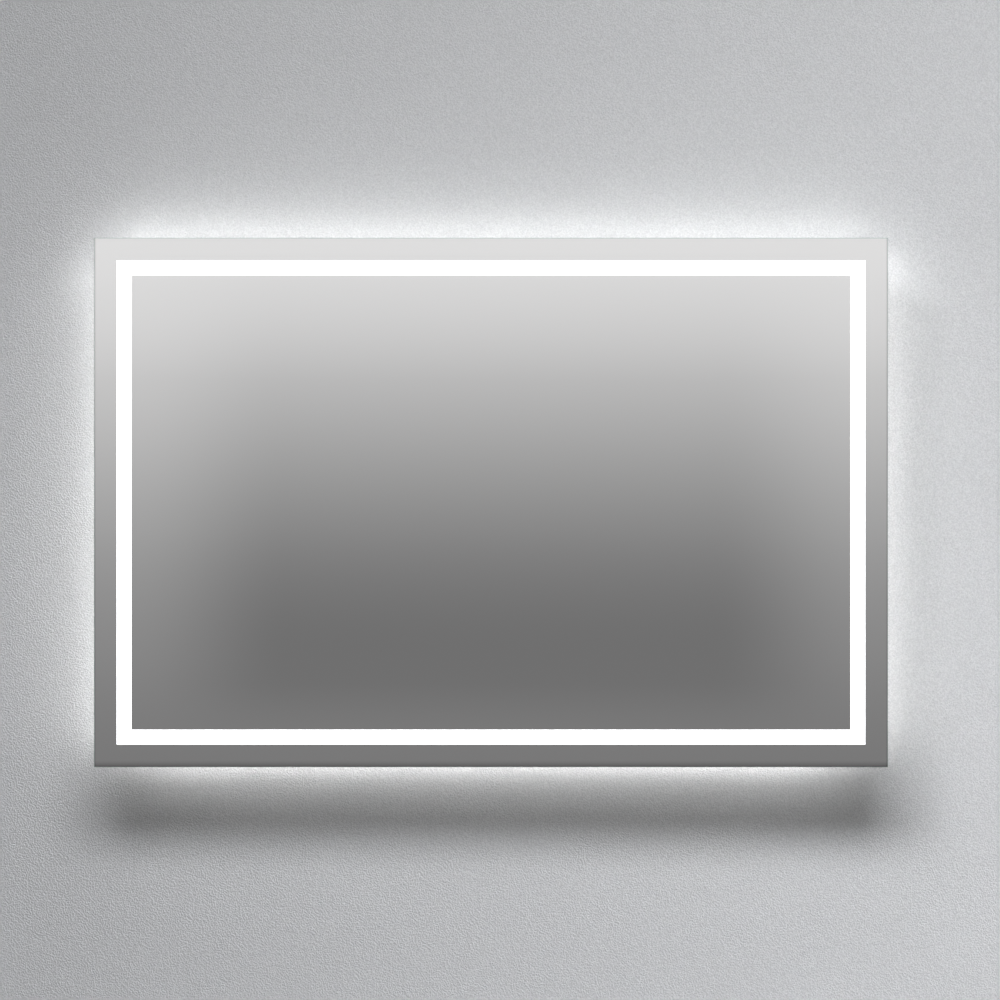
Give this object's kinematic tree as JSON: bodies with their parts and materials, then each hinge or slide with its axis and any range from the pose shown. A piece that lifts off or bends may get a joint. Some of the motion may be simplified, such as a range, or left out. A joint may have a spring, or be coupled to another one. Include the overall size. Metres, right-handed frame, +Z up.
{
  "type": "lighted bathroom mirror",
  "caption": "Frameless rectangular wall mirror with an etched light band, edge glow all round, a mitred aluminium frame and a hook-on wall rail.",
  "frame": {"origin": "centre of the wall rail's screw line, on the wall's surface", "axes": "+X to the right as seen from the room, +Y into the wall, +Z up"},
  "size_m": [0.9144, 0.042, 0.6096],
  "materials": {
    "mirror_glass": "silvered float glass with ground edges and a blasted band",
    "opal_acrylic": "opal, lit from behind",
    "strip_board": "white flexible circuit board with diodes",
    "anodised_aluminium": "satin anodised extrusion",
    "cast_zinc": "die cast",
    "zinc_steel": "zinc plated pressed steel",
    "painted_steel": "fine textured powder coat",
    "screw_steel": "bright zinc plated",
    "foam_tape": "white double-sided foam tape",
    "heating_foil": "clear foil over a printed heating track",
    "black_rubber": "matt moulded rubber",
    "white_moulding": "moulded plastic",
    "circuit_board": "green board with components",
    "lead_sheath": "smooth cable sheath"
  },
  "bodies": {
    "wall_rail": {"wall_rail": "zinc_steel"},
    "mirror": {"hanging_cleat": "zinc_steel", "mirror_glass": "mirror_glass", "frame_top": "anodised_aluminium", "frame_left": "anodised_aluminium", "frame_bottom": "anodised_aluminium", "frame_right": "anodised_aluminium", "corner_key_top_right": "cast_zinc", "corner_key_top_left": "cast_zinc", "corner_key_bottom_left": "cast_zinc", "corner_key_bottom_right": "cast_zinc", "front_diffuser_top": "opal_acrylic", "front_diffuser_left": "opal_acrylic", "front_diffuser_bottom": "opal_acrylic", "front_diffuser_right": "opal_acrylic", "halo_diffuser_top": "opal_acrylic", "halo_diffuser_left": "opal_acrylic", "halo_diffuser_bottom": "opal_acrylic", "halo_diffuser_right": "opal_acrylic", "front_strip_top": "strip_board", "front_strip_left": "strip_board", "front_strip_bottom": "strip_board", "front_strip_right": "strip_board", "halo_strip_top": "strip_board", "halo_strip_left": "strip_board", "halo_strip_bottom": "strip_board", "halo_strip_right": "strip_board", "front_strip_links": "strip_board", "halo_strip_links": "strip_board", "glass_tape_outer": "foam_tape", "glass_tape_inner": "foam_tape", "demister_pad": "heating_foil", "back_panel": "painted_steel", "back_panel_screws": "screw_steel", "spacer_left": "black_rubber", "spacer_right": "black_rubber", "driver_case": "white_moulding", "driver_lid": "white_moulding", "driver_board": "circuit_board", "driver_screws": "screw_steel", "wiring_box": "painted_steel", "wiring_cover": "painted_steel", "wiring_cover_screws": "screw_steel", "inlet_grommet": "black_rubber", "terminal_block": "white_moulding", "terminal_screws": "screw_steel", "mains_lead": "lead_sheath", "front_strip_lead": "lead_sheath", "halo_strip_lead": "lead_sheath", "demister_lead": "lead_sheath", "strip_plug": "white_moulding", "lead_bushings": "black_rubber", "cable_clips": "white_moulding"}
  },
  "joints": [
    {"name": "lift_off", "type": "slide", "parent": "wall_rail", "child": "mirror", "axis": [0, 0, 1], "range_m": [0, 0.015]}
  ]
}
